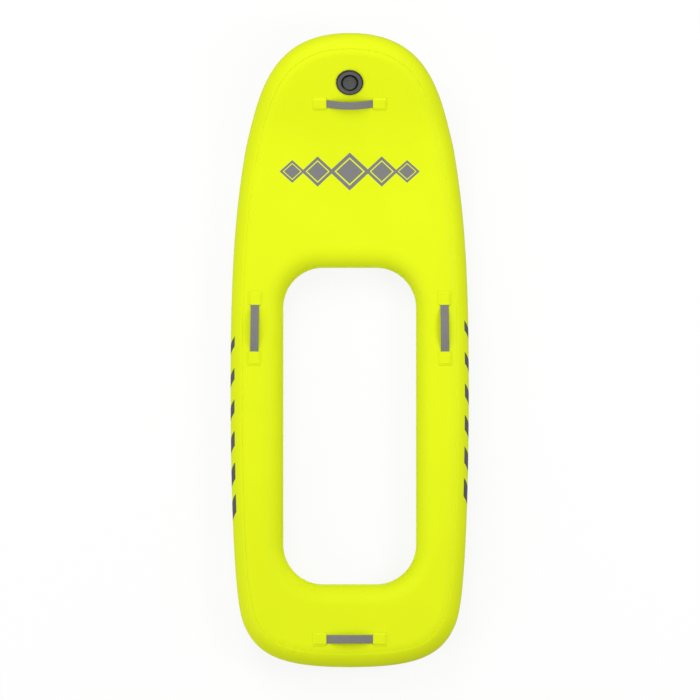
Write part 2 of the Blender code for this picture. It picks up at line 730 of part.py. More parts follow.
def make_seals(parent, material):
    """The flange's gasket, the poppet's flat seal and the six-sided one inside the cap."""
    hole = VALVE_HOLE / MM + SLIDE_GAP
    turned("valve_gasket", ((hole, GASKET_TOP), (GASKET_OUTSIDE, GASKET_TOP),
                            (GASKET_OUTSIDE, GASKET_BOTTOM), (hole, GASKET_BOTTOM)),
           material, parent)
    turned("valve_poppet_seal", ((POPPET_SEAL_INSIDE, POPPET_SEAL_TOP),
                                 (POPPET_SEAL_OUTSIDE, POPPET_SEAL_TOP),
                                 (POPPET_SEAL_OUTSIDE, POPPET_SEAL_BOTTOM),
                                 (POPPET_SEAL_INSIDE, POPPET_SEAL_BOTTOM)),
           material, parent, steps=24)
    upper, lower = CAP_SEAL_MIDDLE + CAP_SEAL_HALF, CAP_SEAL_MIDDLE - CAP_SEAL_HALF
    inner, outer = CAP_SEAL_INSIDE + SLIDE_GAP * 2, CAP_SEAL_OUTSIDE - SLIDE_GAP * 2
    turned("valve_cap_seal", ((CAP_SEAL_INSIDE, CAP_SEAL_MIDDLE), (inner, upper), (outer, upper),
                              (CAP_SEAL_OUTSIDE, CAP_SEAL_MIDDLE), (outer, lower),
                              (inner, lower)), material, parent, steps=24)


def make_valve(plastic, knob_plastic, rubber, steel):
    height = half_thickness(VALVE_S)
    centre = rocker(0.0, VALVE_S, height)
    ahead = rocker(0.0, VALVE_S + 0.01, half_thickness(VALVE_S + 0.01))
    slope = math.atan2(ahead.z - centre.z, ahead.y - centre.y)
    axis = bpy.data.objects.new("valve_axis", None)
    bpy.context.scene.collection.objects.link(axis)
    axis.location = centre
    axis.rotation_euler = (slope, 0.0, 0.0)
    make_flange(axis, plastic)
    make_back_nut(axis, plastic)
    make_insert(axis, plastic)
    make_spring(axis, steel)
    make_stem(axis, plastic)
    make_poppet(axis, plastic)
    make_seals(axis, rubber)
    make_cap(axis, knob_plastic)
    up = Vector((0.0, -math.sin(slope), math.cos(slope)))
    print("valve centre", [round(c, 5) for c in centre], "axis", [round(c, 5) for c in up])
    print("valve slope in degrees", round(math.degrees(slope), 2))
    print("spring foot", [round(c, 5) for c in centre + up * (GUIDE_TOP * MM)])


def main():
    clear_scene()
    lime = make_material("coated_fabric_lime", (0.82, 0.90, 0.03), 0.42)
    lime_patch = make_material("patch_lime", (0.80, 0.88, 0.03), 0.48)
    yarn = make_material("polyester_yarn", (0.86, 0.86, 0.82), 0.90)
    webbing = make_material("webbing_grey", (0.22, 0.22, 0.21), 0.85)
    plastic = make_material("valve_plastic", (0.10, 0.10, 0.11), 0.50)
    knob_plastic = make_material("cap_plastic", (0.085, 0.085, 0.085), 0.45)
    rubber = make_material("seal_rubber", (0.02, 0.02, 0.02), 0.70)
    steel = make_material("spring_steel", (0.60, 0.60, 0.62), 0.30, metallic=1.0)

    rail = rail_stations()
    cutout = cutout_stations()
    rail_reach = Reach(rail_stations(refine=FINE))
    cutout_reach = Reach(cutout_stations(refine=FINE))
    valve_hole = circle(0.0, VALVE_S, VALVE_HOLE, VALVE_STEPS)
    make_skin("deck_skin", 1, rail, cutout, lime, holes=(valve_hole,))
    make_skin("hull_skin", -1, rail, cutout, lime)
    make_rail_band("rail_band", rail, lime)
    make_tape("cutout_tape", cutout, lime)
    make_yarns("drop_stitch_yarns", rail, cutout, rail_reach, cutout_reach, yarn)

    across = 0.0
    along = math.pi / 2
    handles = (
        ("nose", 0.0, NOSE_HANDLE_S, across),
        ("tail", 0.0, TAIL_HANDLE_S, across),
        ("starboard", SIDE_HANDLE_X, SIDE_HANDLE_S, along + SIDE_HANDLE_TOE_IN),
        ("port", -SIDE_HANDLE_X, SIDE_HANDLE_S, along - SIDE_HANDLE_TOE_IN),
    )
    ends = {across: ("port", "starboard")}
    for where, x, s, angle in handles:
        place = DeckPlace(x, s, angle, (rail_reach, cutout_reach))
        make_strap(f"{where}_handle_strap", place, webbing)
        for end, side in zip((-1, 1), ends.get(angle, ("aft", "fore"))):
            make_patch(f"{where}_handle_patch_{side}", place, end, lime_patch)
        middle = place.lay(0.0, 0.0, 0.0)
        print(where, "handle, deck under its middle", [round(c, 5) for c in middle])
    make_valve(plastic, knob_plastic, rubber, steel)


main()
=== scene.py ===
"""Looks of the inflatable collar board of an electric foil craft.

The fabric is drawn laid flat, in x across, s along and h up from the middle of the thickness,
and one bend then rolls the nose up, so that seams, puckers and prints follow the cloth. Sizes
are in metres in the frame's own axes: +X starboard, +Y nose, +Z up. Only the valve is drawn in
millimetres, about its own axis.
"""
import json
import math

import bpy
import numpy as np
from mathutils import Matrix, Vector
from mathutils.geometry import delaunay_2d_cdt


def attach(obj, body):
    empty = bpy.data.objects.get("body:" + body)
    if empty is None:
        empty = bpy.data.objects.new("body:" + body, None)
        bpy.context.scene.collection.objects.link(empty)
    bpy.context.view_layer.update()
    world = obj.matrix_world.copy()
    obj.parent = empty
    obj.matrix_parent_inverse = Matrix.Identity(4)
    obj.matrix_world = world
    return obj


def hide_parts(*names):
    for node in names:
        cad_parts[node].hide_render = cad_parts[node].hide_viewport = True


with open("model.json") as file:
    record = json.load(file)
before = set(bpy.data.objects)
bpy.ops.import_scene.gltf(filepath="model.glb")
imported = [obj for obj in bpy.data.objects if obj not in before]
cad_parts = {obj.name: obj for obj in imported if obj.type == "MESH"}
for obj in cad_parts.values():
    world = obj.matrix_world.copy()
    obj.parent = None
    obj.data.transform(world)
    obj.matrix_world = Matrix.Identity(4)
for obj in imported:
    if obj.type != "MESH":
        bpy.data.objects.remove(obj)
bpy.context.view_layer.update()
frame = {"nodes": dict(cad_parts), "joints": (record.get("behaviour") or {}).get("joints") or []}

MM = 0.001
FULL_TURN = 2.0 * math.pi
RANDOM_SEED = 11

# The photograph's view
PHOTO_PIXELS = 700
METRES_PER_PIXEL = 2.841 * MM
BOARD_MIDDLE_PIXEL = (349.68, 350.41)
CAMERA_LENS = 1200.0
CAMERA_SENSOR = 36.0

# Air chamber, as the solids have it
LENGTH = 1.800
HALF_THICKNESS = 0.060
NOSE_THINNING = 0.015
FABRIC = 1.2 * MM
BAND_OUTSIDE = 1.5 * MM
ROCKER_START = 0.412
ROCKER_RADIUS = 0.660
ROCKER_ANGLE = math.radians(27.0)
ROCKER_LENGTH = ROCKER_RADIUS * ROCKER_ANGLE
ROCKER_END = ROCKER_START + ROCKER_LENGTH
THINNING_START = ROCKER_START + ROCKER_LENGTH / 2
NOSE_RADIUS = HALF_THICKNESS - NOSE_THINNING + BAND_OUTSIDE
RAMP_START_Y = ROCKER_START + ROCKER_RADIUS * math.sin(ROCKER_ANGLE)
NOSE_S = ROCKER_END + (LENGTH / 2 - NOSE_RADIUS - RAMP_START_Y) / math.cos(ROCKER_ANGLE)
TAIL_S = -(LENGTH / 2 - HALF_THICKNESS - BAND_OUTSIDE)
SHOULDER = (0.226, 0.611)
BEAM = (0.277, -0.110)
QUARTER = (0.243, -0.757)
RAIL_CHAIN = (
    ((0.000, NOSE_S), (0.167, NOSE_S), (0.198, 0.763), SHOULDER),
    (SHOULDER, (0.264, 0.408), (0.277, 0.243), BEAM),
    (BEAM, (0.277, -0.331), (0.270, -0.698), QUARTER),
    (QUARTER, (0.222, -0.804), (0.195, TAIL_S), (0.000, TAIL_S)),
)
CUTOUT_WIDTH = 0.377
CUTOUT_NOSE_Y = 0.2345
CUTOUT_TAIL_Y = -0.6645
CUTOUT_CORNER = 0.1136

# Where the fabric edges lie, as angles up the rounded sides
RAIL_SEAM = math.radians(62.0)
TAIL_SEAM = math.radians(68.0)
TAIL_SEAM_START = -0.60
TAIL_SEAM_LENGTH = 0.20
SKIN_LAP = math.radians(42.0)
TAPE_EDGE = math.radians(20.0)
SKIN_BUTT = math.radians(1.5)

# Fineness of the fabric's mesh
STATION_SPACING = 5.0 * MM
FIELD_SPACING = 16.0 * MM
FIELD_ROW = FIELD_SPACING * math.sqrt(0.75)
FIELD_MARGIN = 0.45 * FIELD_SPACING
POINTS_AT_A_TIME = 500
TRIANGULATION_EPSILON = 1e-7
RING_STEP = math.radians(6.0)
RAIL_CURVE_POINTS = 3001
CORNER_CURVE_POINTS = 200
HOLE_POINTS = 96
SEAM_SHARES = np.linspace(0.2, 1.0, 5)
LAP_SHARES = (0.34, 0.67, 1.0)

# Edges of the band and the tape, as shares of their lean and of the fabric's thickness
WRAP_LEAN = 0.5 * FABRIC / HALF_THICKNESS
WRAP_EDGE = ((0.3, 0.75), (0.0, 0.3), (0.0, 0.0))
WRAP_EDGE_DROP = 0.05 * MM

# How the blown-up fabric departs from its plain shape
PUCKER_HEIGHT = 0.30 * MM
PUCKER_REACH = 10.0 * MM
PUCKER_WAVES = (13.0 * MM, 42.0 * MM)
PUCKER_COUNT = 26
CORNER_PUCKERS = 1.6
CORNER_REACH = 20
CALM_WAVES = (5, 22)
CALM_COUNT = 6
CALM_LEVEL = 0.55
CALM_SPREAD = 0.45
SWELL_HEIGHT = 0.16 * MM
SWELL_WAVES = (0.07, 0.26)
SWELL_COUNT = 18

# Handles
WEBBING_WIDTH = 23.6 * MM
WEBBING_THICKNESS = 2.2 * MM
WEBBING_POINTS = 41
WEBBING_RIBS = 6
RIB_DEPTH = 0.16 * MM
SELVEDGE_POWER = 16
HANDLE_OPEN = 132.0 * MM
HANDLE_ARCH = 12.2 * MM
ARCH_HALF = 62.0 * MM
ARCH_EASE = 0.08
STRAP_HALF = 98.0 * MM
STRAP_STEPS = 98
PATCH_SIZE = 40.0 * MM
PATCH_CORNER = 5.5 * MM
PATCH_THICKNESS = 1.0 * MM
PATCH_TOE = 5.5 * MM
PATCH_WELD = 0.12 * MM
PATCH_EDGE_INSETS = np.array((0.0, 0.25, 1.0)) * MM
PATCH_EDGE_DROPS = (0.55, 0.18, 0.0)
PATCH_RINGS = 26
PATCH_RING_SHARES = (1.0 - 3.6 * MM / PATCH_SIZE, 0.03)
PATCH_SIDE_POINTS = 22
SEAT = 0.5 * MM
NOSE_HANDLE_S = 0.7356
TAIL_HANDLE_S = -0.8196
SIDE_HANDLE_X = 0.270
SIDE_HANDLE_S = 0.063
SIDE_HANDLE_TOE_IN = math.radians(0.8)

# Valve, in millimetres along its own axis from the deck's outer face
VALVE_S = 0.8023
VALVE_HOLE = 30.5 * MM
TURNED_STEPS = 128
SLEEVE_BORE = 25.0
SLEEVE_OUTSIDE = 27.2
SLEEVE_END = -14.0
FLANGE_OUTSIDE = 38.75
FLANGE_TOP = 5.0
FLANGE_UNDERSIDE = 2.1

# The ring's groove as (radius, depth), and its outer edge as (in from the outside, down)
FLANGE_GROOVE = ((28.4, 0.0), (28.9, 0.7), (30.0, 0.7), (30.5, 0.0))
FLANGE_EDGE = ((2.4, 0.1), (0.7, 0.9), (0.0, 2.2))
# Painted shade round the ring's rounded outer edge: it comes in between these two radii and stays
# dark out to the rim
FLANGE_PAINTED_SHADE = (FLANGE_OUTSIDE - 4.9, FLANGE_OUTSIDE - 3.7)

# The cap: a lower tier, and an upper one with a dished face, a raised rim and finger flutes
CAP_LOWER_RADIUS = 19.0
CAP_UPPER_RADIUS = 15.8
CAP_BORE = 17.1
CAP_STEP = 9.6
CAP_TOP = 14.4
CAP_CROWN = 6.4
CAP_DISH = 1.3
CAP_END = -9.5
CAP_RIM_INSIDE = CAP_UPPER_RADIUS - 2.6
CAP_DISH_RADIUS = CAP_UPPER_RADIUS - 3.6
CAP_FLUTES = 24
FLUTE_DEPTH = 0.32
FLUTE_HEIGHTS = (CAP_STEP + 0.3, CAP_TOP - 0.2)
FLUTE_INSIDE = CAP_UPPER_RADIUS - 0.6
FILLET_RADIUS = 0.5
FILLET_SHARE = 0.45
FILLET_STEPS = 4

# Numbers of a Mix node's colour sockets, which share their names with its other sockets
MIX_FIRST, MIX_SECOND, MIX_RESULT = 6, 7, 2

# Colours, linear
LIME = (0.800, 0.925, 0.010)
PATCH_LIME = (0.792, 0.917, 0.010)
INK = (0.225, 0.220, 0.222)
RAIL_INK = (0.110, 0.108, 0.106)
WEBBING_GREY = (0.230, 0.226, 0.222)
RING_GREY = (0.100, 0.100, 0.102)
KNOB_GREY = (0.078, 0.078, 0.079)
RUBBER_BLACK = (0.020, 0.020, 0.021)
STEEL_GREY = (0.60, 0.60, 0.62)
YARN_WHITE = (0.80, 0.80, 0.76)
# How dark the painted shade makes the valve ring's outer rim, as a share of its colour
RIM_PAINTED_SHADE_LEVEL = 0.15
SATIN_ROUGHNESS = (0.44, 0.56)
INK_DULLNESS = 0.14

# Print on the deck: diamonds as (x, half width, half height), and the open line inside each
EMBLEM_S = 0.518
DIAMONDS = (
    (-0.163, 0.036, 0.036), (-0.091, 0.046, 0.048), (0.0, 0.058, 0.060),
    (0.091, 0.046, 0.048), (0.163, 0.036, 0.036),
)
DIAMOND_LINE = (0.70, 0.045)

# Print on the rails: slanted bars from the shoulder towards the tail
BARS_START = 0.010
BARS_STARBOARD_LEAD = 0.045
BARS_LENGTH = 0.535
BARS_END = 0.534
BAR_PITCH = 0.089
BAR_SLANT = 0.8
BAR_SHARE = 0.32
BAR_SHARE_GAIN = 0.30
BAR_HALF_HEIGHT = 0.037

# Weave of the webbing with painted shade in its hollows, and the line of painted shade round a
# patch's edge
PICK_LENGTH = 1.3 * MM
WARP_WIDTH = 0.9 * MM
STRIPE_WIDTH = WEBBING_WIDTH / 3.5
STRIPE_SHADE = 1.22
STRIPE_STRENGTH = 0.28
# Painted shade in the weave's hollows: its colour share, and how it follows the weave's relief
WEAVE_PAINTED_SHADE = 0.62
WEAVE_PAINTED_SHADE_SPREAD = 0.16
WEAVE_PAINTED_SHADE_BIAS = 0.14
# Painted shade along a patch's very edge: the span from the edge over which it fades out, its
# strength and its darker colour share
PATCH_PAINTED_SHADE_SPAN = (0.4 * MM, 1.5 * MM)
PATCH_PAINTED_SHADE_STRENGTH = 0.45
PATCH_PAINTED_SHADE = 0.72

# Stage: lamps as (name, place, power, diameter), all discs turned to the board
FLOOR_SIDE = 800.0
FLOOR_Z = -0.5 * MM
FLOOR_GREY = (0.35, 0.35, 0.35, 1.0)
WHITE = (1.0, 1.0, 1.0, 1.0)
FLOOR_WHITE_SHARE = 0.85
DOME_STRENGTH = 0.632
LAMPS = (
    ("starboard_lamp", (2.83, 0.00, 2.83), 44.0, 1.6),
    ("tail_port_lamp", (-3.26, -1.88, 1.37), 40.0, 2.6),
    ("nose_lamp", (-0.97, 2.66, 2.83), 60.0, 2.6),
)


# The rocker and the thickness

def rolled(flat):
    """Rolls laid-flat points up into the world."""
    x, s, h = flat.T
    turn = np.clip(s - ROCKER_START, 0.0, ROCKER_LENGTH) / ROCKER_RADIUS
    ramp = np.maximum(s - ROCKER_END, 0.0)
    reach = ROCKER_RADIUS - h
    y = np.minimum(s, ROCKER_START) + reach * np.sin(turn) + ramp * np.cos(turn)
    z = HALF_THICKNESS + ROCKER_RADIUS - reach * np.cos(turn) + ramp * np.sin(turn)
    return np.column_stack([x, y, z])


def half_thickness(s):
    share = (s - THINNING_START) / (NOSE_S - THINNING_START)
    return HALF_THICKNESS - NOSE_THINNING * np.clip(share, 0.0, 1.0)


def smooth(share):
    """0 to 1 with level ends."""
    share = np.clip(share, 0.0, 1.0)
    return share * share * (3.0 - 2.0 * share)


def seam_angle(s):
    return RAIL_SEAM + (TAIL_SEAM - RAIL_SEAM) * smooth((TAIL_SEAM_START - s) / TAIL_SEAM_LENGTH)


# Stations: x, s and the direction (x, s) in which the rounded side bulges

def rail_point(t):
    """Point and outward direction on the rail's centre line, t from 0 at the nose to 4."""
    segment = min(int(t), len(RAIL_CHAIN) - 1)
    a, b, c, d = (Vector(point) for point in RAIL_CHAIN[segment])
    t -= segment
    u = 1.0 - t
    point = a * u ** 3 + b * 3 * u * u * t + c * 3 * u * t * t + d * t ** 3
    along = ((b - a) * u * u + (c - b) * 2 * u * t + (d - c) * t * t).normalized()
    return point.x, point.y, -along.y, along.x


def spaced(loop, spacing):
    """Stations at an even spacing round a closed loop of fine ones."""
    closed = np.vstack([loop, loop[:1]])
    steps = np.hypot(*np.diff(closed[:, :2], axis=0).T)
    arc = np.concatenate([[0.0], np.cumsum(steps)])
    count = round(arc[-1] / spacing)
    even = np.arange(count) * arc[-1] / count
    stations = np.column_stack([np.interp(even, arc, column) for column in closed.T])
    stations[:, 2:] /= np.linalg.norm(stations[:, 2:], axis=1)[:, None]
    return stations


def rail_stations(spacing):
    places = np.linspace(0.0, len(RAIL_CHAIN), RAIL_CURVE_POINTS)
    fine = np.array([rail_point(t) for t in places])
    port = fine[-2:0:-1] * (-1.0, 1.0, -1.0, 1.0)
    return spaced(np.vstack([fine, port]), spacing)


def cutout_stations(spacing):
    """Centre line of the cut-out's rounded wall, anticlockwise from its starboard side."""
    radius = CUTOUT_CORNER + HALF_THICKNESS + BAND_OUTSIDE
    half_straight = CUTOUT_WIDTH / 2 - CUTOUT_CORNER
    middle = (CUTOUT_NOSE_Y + CUTOUT_TAIL_Y) / 2
    long_straight = (CUTOUT_NOSE_Y - CUTOUT_TAIL_Y) / 2 - CUTOUT_CORNER
    fine = []
    for quarter, (side, end) in enumerate(((1, 1), (-1, 1), (-1, -1), (1, -1))):
        for angle in np.linspace(quarter, quarter + 1, CORNER_CURVE_POINTS) * math.pi / 2:
            c, n = math.cos(angle), math.sin(angle)
            x = side * half_straight + radius * c
            s = middle + end * long_straight + radius * n
            fine.append((x, s, -c, -n))
    return spaced(np.array(fine), spacing)


def side_ring(stations, angle, outside=0.0):
    """Laid-flat points of one ring round a side, and the directions in which it faces."""
    x, s, nx, ns = stations.T
    angle = np.broadcast_to(angle, x.shape)
    out = np.column_stack([nx * np.cos(angle), ns * np.cos(angle), np.sin(angle)])
    middle = np.column_stack([x, s, np.zeros_like(x)])
    return middle + out * (half_thickness(s) + outside)[:, None], out


# Departures from the plain shape, the same for every layer that lies there

class Ripples:
    """A repeatable sum of waves round a closed seam, in heights of about 1."""

    def __init__(self, stations, waves, count, rng):
        points = np.vstack([stations[:, :2], stations[:1, :2]])
        steps = np.hypot(*np.diff(points, axis=0).T)
        length = steps.sum()
        arc = np.cumsum(steps) - steps
        numbers = np.rint(length / rng.uniform(*waves, count))
        phases = rng.uniform(0.0, FULL_TURN, count)
        waviness = np.sin(FULL_TURN * np.outer(arc, numbers) / length + phases).sum(axis=1)
        slow_numbers = rng.integers(*CALM_WAVES, CALM_COUNT)
        slow_phases = rng.uniform(0.0, FULL_TURN, CALM_COUNT)
        slow = np.sin(FULL_TURN * np.outer(arc, slow_numbers) / length + slow_phases).sum(axis=1)
        headings = np.unwrap(np.arctan2(stations[:, 2], stations[:, 3]))
        bend = np.abs(np.gradient(headings)) / STATION_SPACING
        bend = np.concatenate([bend[-CORNER_REACH:], bend, bend[:CORNER_REACH]])
        window = 2 * CORNER_REACH + 1
        bend = np.convolve(bend, np.ones(window) / window, "valid")
        gathers = 1.0 + CORNER_PUCKERS * bend / bend.max()
        calm = CALM_LEVEL + CALM_SPREAD * np.tanh(slow)
        self.heights = waviness / math.sqrt(count) * gathers * calm


class Swell:
    """Slow unevenness of the whole field."""

    def __init__(self, rng):
        headings = rng.uniform(0.0, FULL_TURN, SWELL_COUNT)
        numbers = FULL_TURN / rng.uniform(*SWELL_WAVES, SWELL_COUNT)
        self.waves = np.column_stack([np.cos(headings), np.sin(headings)]) * numbers[:, None]
        self.phases = rng.uniform(0.0, FULL_TURN, SWELL_COUNT)

    def at(self, x, s):
        waviness = np.sin(np.column_stack([x, s]) @ self.waves.T + self.phases).sum(axis=1)
        return SWELL_HEIGHT * waviness / math.sqrt(SWELL_COUNT)


def pucker(ripples, stations, angle, seam):
    """How far a ring stands out where the fabric gathers beside a seam."""
    distance = (np.abs(angle) - seam) * half_thickness(stations[:, 1])
    reach = np.where(distance > 0.0, PUCKER_REACH, 2.0 * PUCKER_REACH)
    return PUCKER_HEIGHT * ripples.heights * np.exp(-(distance / reach) ** 2)


# Meshes

def new_piece(name, points, faces, material, sharp_angle=40.0, **attributes):
    """A mesh object with per-point attributes, smooth but for its sharp edges."""
    mesh = bpy.data.meshes.new(name)
    mesh.from_pydata(np.asarray(points).tolist(), [], faces)
    for key, values in attributes.items():
        layer = mesh.attributes.new(key, "FLOAT_VECTOR", "POINT")
        layer.data.foreach_set("vector", np.asarray(values, dtype=float).ravel())
    mesh.materials.append(material)
    mesh.shade_smooth()
    mesh.set_sharp_from_angle(angle=math.radians(sharp_angle))
    piece = bpy.data.objects.new(name, mesh)
    bpy.context.scene.collection.objects.link(piece)
    return piece


def panels(cut):
    """The nodes into which one cut of fabric is parted."""
    return [name for name in frame["nodes"] if name.startswith(cut)]


def stand_for(piece, body, slot, *nodes):
    """The piece rides on a body and takes the place of these nodes."""
    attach(piece, body)
    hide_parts(*nodes)


def band_faces(rows, columns, closed_rows=False):
    """Quads between rings of points, and from the last ring to the first if closed."""
    faces = []
    for row in range(rows if closed_rows else rows - 1):
        upper, lower = row * columns, (row + 1) % rows * columns
        for i in range(columns):
            j = (i + 1) % columns
            faces.append((upper + i, upper + j, lower + j, lower + i))
    return faces


def rim_faces(faces, count):
    """Quads that close the open edges between an outer layer and an inner one."""
    edges = {(a, b) for face in faces for a, b in zip(face, face[1:] + face[:1])}
    return [(b, a, a + count, b + count) for a, b in edges if (b, a) not in edges]


def two_layers(outer, inner, faces):
    """Points and faces of a closed sheet."""
    count = len(outer)
    back = [tuple(i + count for i in reversed(face)) for face in faces]
    return np.vstack([outer, inner]), faces + back + sorted(rim_faces(faces, count))


def inside(points, outline):
    """Which points lie inside a closed outline."""
    x, y = points[:, 0:1], points[:, 1:2]
    x0, y0 = outline.T
    x1, y1 = np.roll(outline, -1, axis=0).T
    level = (y0 > y) != (y1 > y)
    rise = np.where(y1 == y0, 1.0, y1 - y0)
    crossings = level & (x < (x1 - x0) * (y - y0) / rise + x0)
    return crossings.sum(axis=1) % 2 == 1


def field(outlines):
    """Triangles between an outer outline and the holes in it; its first points are theirs."""
    outer, *holes = outlines
    low, high = outer.min(axis=0), outer.max(axis=0)
    rows = []
    for number, s in enumerate(np.arange(low[1], high[1], FIELD_ROW)):
        shift = FIELD_SPACING / 2 * (number % 2)
        half = np.arange(shift, high[0], FIELD_SPACING)
        x = np.unique(np.concatenate([-half, half]))
        rows.append(np.column_stack([x, np.full_like(x, s)]))
    grid = np.vstack(rows)
    keep = inside(grid, outer)
    for hole in holes:
        keep &= ~inside(grid, hole)
    boundary = np.vstack(outlines)
    for start in range(0, len(grid), POINTS_AT_A_TIME):
        some = slice(start, start + POINTS_AT_A_TIME)
        gaps = np.linalg.norm(grid[some, None] - boundary[None], axis=2).min(axis=1)
        keep[some] &= gaps > FIELD_MARGIN
    points = np.vstack([boundary, grid[keep]])
    edges = []
    start = 0
    for outline in outlines:
        numbers = list(range(start, start + len(outline)))
        edges += zip(numbers, numbers[1:] + numbers[:1])
        start += len(outline)
    corners = [Vector(point) for point in points.tolist()]
    made = delaunay_2d_cdt(corners, edges, [], 0, TRIANGULATION_EPSILON)
    source = {number: given[0] for number, given in enumerate(made[3]) if given}
    triangles = np.array([[source[i] for i in face] for face in made[2]])
    middles = points[triangles].mean(axis=1)
    keep = inside(middles, outer)
    for hole in holes:
        keep &= ~inside(middles, hole)
    return points, [tuple(face) for face in triangles[keep].tolist()]


# Fabric pieces

def make_skin(name, side, rail, cutout, rail_ripples, cutout_ripples, swell, material, hole=None):
    """Deck (side 1) or hull (side -1): a flat field whose edges roll round the sides."""
    outlines = [rail[:, :2], cutout[:, :2]]
    if hole is not None:
        outlines.append(hole)
    points, faces = field(outlines)
    x, s = points.T
    flat = [np.column_stack([x, s, half_thickness(s)])]
    out = [np.tile((0.0, 0.0, 1.0), (len(points), 1))]
    lift = [swell.at(x, s)]
    girth = [np.full(len(points), HALF_THICKNESS * math.pi / 2)]

    seam = seam_angle(rail[:, 1])
    upper = [math.pi / 2 + (seam - math.pi / 2) * share for share in SEAM_SHARES]
    lap = [seam + (SKIN_LAP - seam) * share for share in LAP_SHARES]
    wall_steps = math.ceil((math.pi / 2 - SKIN_BUTT) / RING_STEP)
    wall = list(np.linspace(math.pi / 2, SKIN_BUTT, wall_steps + 1)[1:])
    count = len(points)
    for stations, first, angles, ripples, edge in (
            (rail, 0, upper + lap, rail_ripples, seam),
            (cutout, len(rail), wall, cutout_ripples, TAPE_EDGE)):
        above = list(range(first, first + len(stations)))
        for angle in angles:
            ring, facing = side_ring(stations, angle)
            flat.append(ring)
            out.append(facing)
            fade = np.sin(np.broadcast_to(angle, len(stations)))
            rise = swell.at(stations[:, 0], stations[:, 1]) * fade
            lift.append(rise + pucker(ripples, stations, angle, edge))
            girth.append(np.broadcast_to(angle, len(stations)) * HALF_THICKNESS)
            below = list(range(count, count + len(stations)))
            count += len(stations)
            faces += [(a, b, c, d) for a, b, c, d in zip(
                above, above[1:] + above[:1], below[1:] + below[:1], below)]
            above = below
    flat, out = np.vstack(flat), np.vstack(out)
    flat += out * np.concatenate(lift)[:, None]
    if side < 0:
        flat[:, 2] *= -1.0
        out[:, 2] *= -1.0
        faces = [face[::-1] for face in faces]
    cloth = np.column_stack([flat[:, :2], np.concatenate(girth) * side])
    points, faces = two_layers(rolled(flat), rolled(flat - out * FABRIC), faces)
    return new_piece(name, points, faces, material, cloth=np.vstack([cloth, cloth]))


def make_wrap(name, stations, edge, ripples, swell, material):
    """A band welded over the lapped edges of the skins, from edge above to edge below."""
    edge = np.broadcast_to(edge, len(stations))
    steps = math.ceil(2.0 * float(edge.max()) / RING_STEP)
    inner_steps = max(steps // 3, 2)
    section = [(1.0 - 2.0 * i / steps, 0.0, BAND_OUTSIDE) for i in range(steps + 1)]
    section[0] = (1.0, -WRAP_LEAN, BAND_OUTSIDE - WRAP_EDGE_DROP)
    section[-1] = (-1.0, WRAP_LEAN, BAND_OUTSIDE - WRAP_EDGE_DROP)
    low = BAND_OUTSIDE - FABRIC
    section += [(-1.0, lean * WRAP_LEAN, low + up * FABRIC) for lean, up in WRAP_EDGE]
    section += [(2.0 * i / inner_steps - 1.0, 0.0, low) for i in range(1, inner_steps)]
    section += [(1.0, -lean * WRAP_LEAN, low + up * FABRIC) for lean, up in WRAP_EDGE[::-1]]
    rise = swell.at(stations[:, 0], stations[:, 1])
    points, cloth = [], []
    for share, shift, outside in section:
        angle = edge * share + shift
        ring, facing = side_ring(stations, angle, outside)
        lift = pucker(ripples, stations, angle, edge) + rise * np.abs(np.sin(angle))
        points.append(ring + facing * lift[:, None])
        cloth.append(np.column_stack([stations[:, :2], angle * HALF_THICKNESS]))
    faces = band_faces(len(section), len(stations), closed_rows=True)
    return new_piece(name, rolled(np.vstack(points)), faces, material, cloth=np.vstack(cloth))


# Handles, drawn along u, across v and up w, and laid on the deck

class DeckPlace:
    """A place on the laid-flat deck, turned by an angle from x towards s."""

    def __init__(self, x, s, angle, rail, swell):
        self.x, self.s = x, s
        self.cos, self.sin = math.cos(angle), math.sin(angle)
        self.rail, self.swell = rail, swell

    def lay(self, uvw):
        u, v, w = uvw.T
        x = self.x + u * self.cos - v * self.sin
        s = self.s + u * self.sin + v * self.cos
        away = np.column_stack([x, s])[:, None] - self.rail[None, :, :2]
        nearest = np.argmin((away ** 2).sum(axis=2), axis=1)
        past = (away[np.arange(len(x)), nearest] * self.rail[nearest, 2:]).sum(axis=1)
        height = np.sqrt(half_thickness(s) ** 2 - np.maximum(past, 0.0) ** 2)
        return rolled(np.column_stack([x, s, height + w + self.swell.at(x, s)]))


def arch_height(u):
    """A parabola that eases into the deck at both ends."""
    rise = np.maximum(1.0 - (u / ARCH_HALF) ** 2, 0.0)
    return HANDLE_ARCH * (1.0 + ARCH_EASE) * rise ** 2 / (rise + ARCH_EASE)


def webbing_section():
    """Outline of the webbing's cross-section: rounded selvedges and shallow woven ribs."""
    half, thick = WEBBING_WIDTH / 2, WEBBING_THICKNESS
    across = np.linspace(-1.0, 1.0, WEBBING_POINTS)
    rib = 0.5 - 0.5 * np.cos(across * math.pi * WEBBING_RIBS)
    edge = np.sqrt(np.clip(1.0 - np.abs(across) ** SELVEDGE_POWER, 0.0, 1.0))
    height = thick * (0.5 + 0.5 * edge) - RIB_DEPTH * rib * edge
    top = np.column_stack([across * half, height])
    bottom = np.column_stack([across[::-1] * half, thick - height[::-1]])
    return np.vstack([top, bottom[1:-1]])


def make_strap(name, place, material):
    """Webbing, flat under its patches and arched between them so that a hand goes under."""
    section = webbing_section()
    rows = np.linspace(-STRAP_HALF, STRAP_HALF, STRAP_STEPS + 1)
    u = np.repeat(rows, len(section))
    v = np.tile(section[:, 0], len(rows))
    w = np.tile(section[:, 1], len(rows)) + SEAT + arch_height(u)
    faces = [face[::-1] for face in band_faces(len(rows), len(section))]
    last = (len(rows) - 1) * len(section)
    faces.append(tuple(range(len(section))))
    faces.append(tuple(range(last, last + len(section)))[::-1])
    cloth = np.column_stack([u, v, np.zeros_like(u)])
    points = place.lay(np.column_stack([u, v, w]))
    return new_piece(name, points, faces, material, sharp_angle=60.0, cloth=cloth)


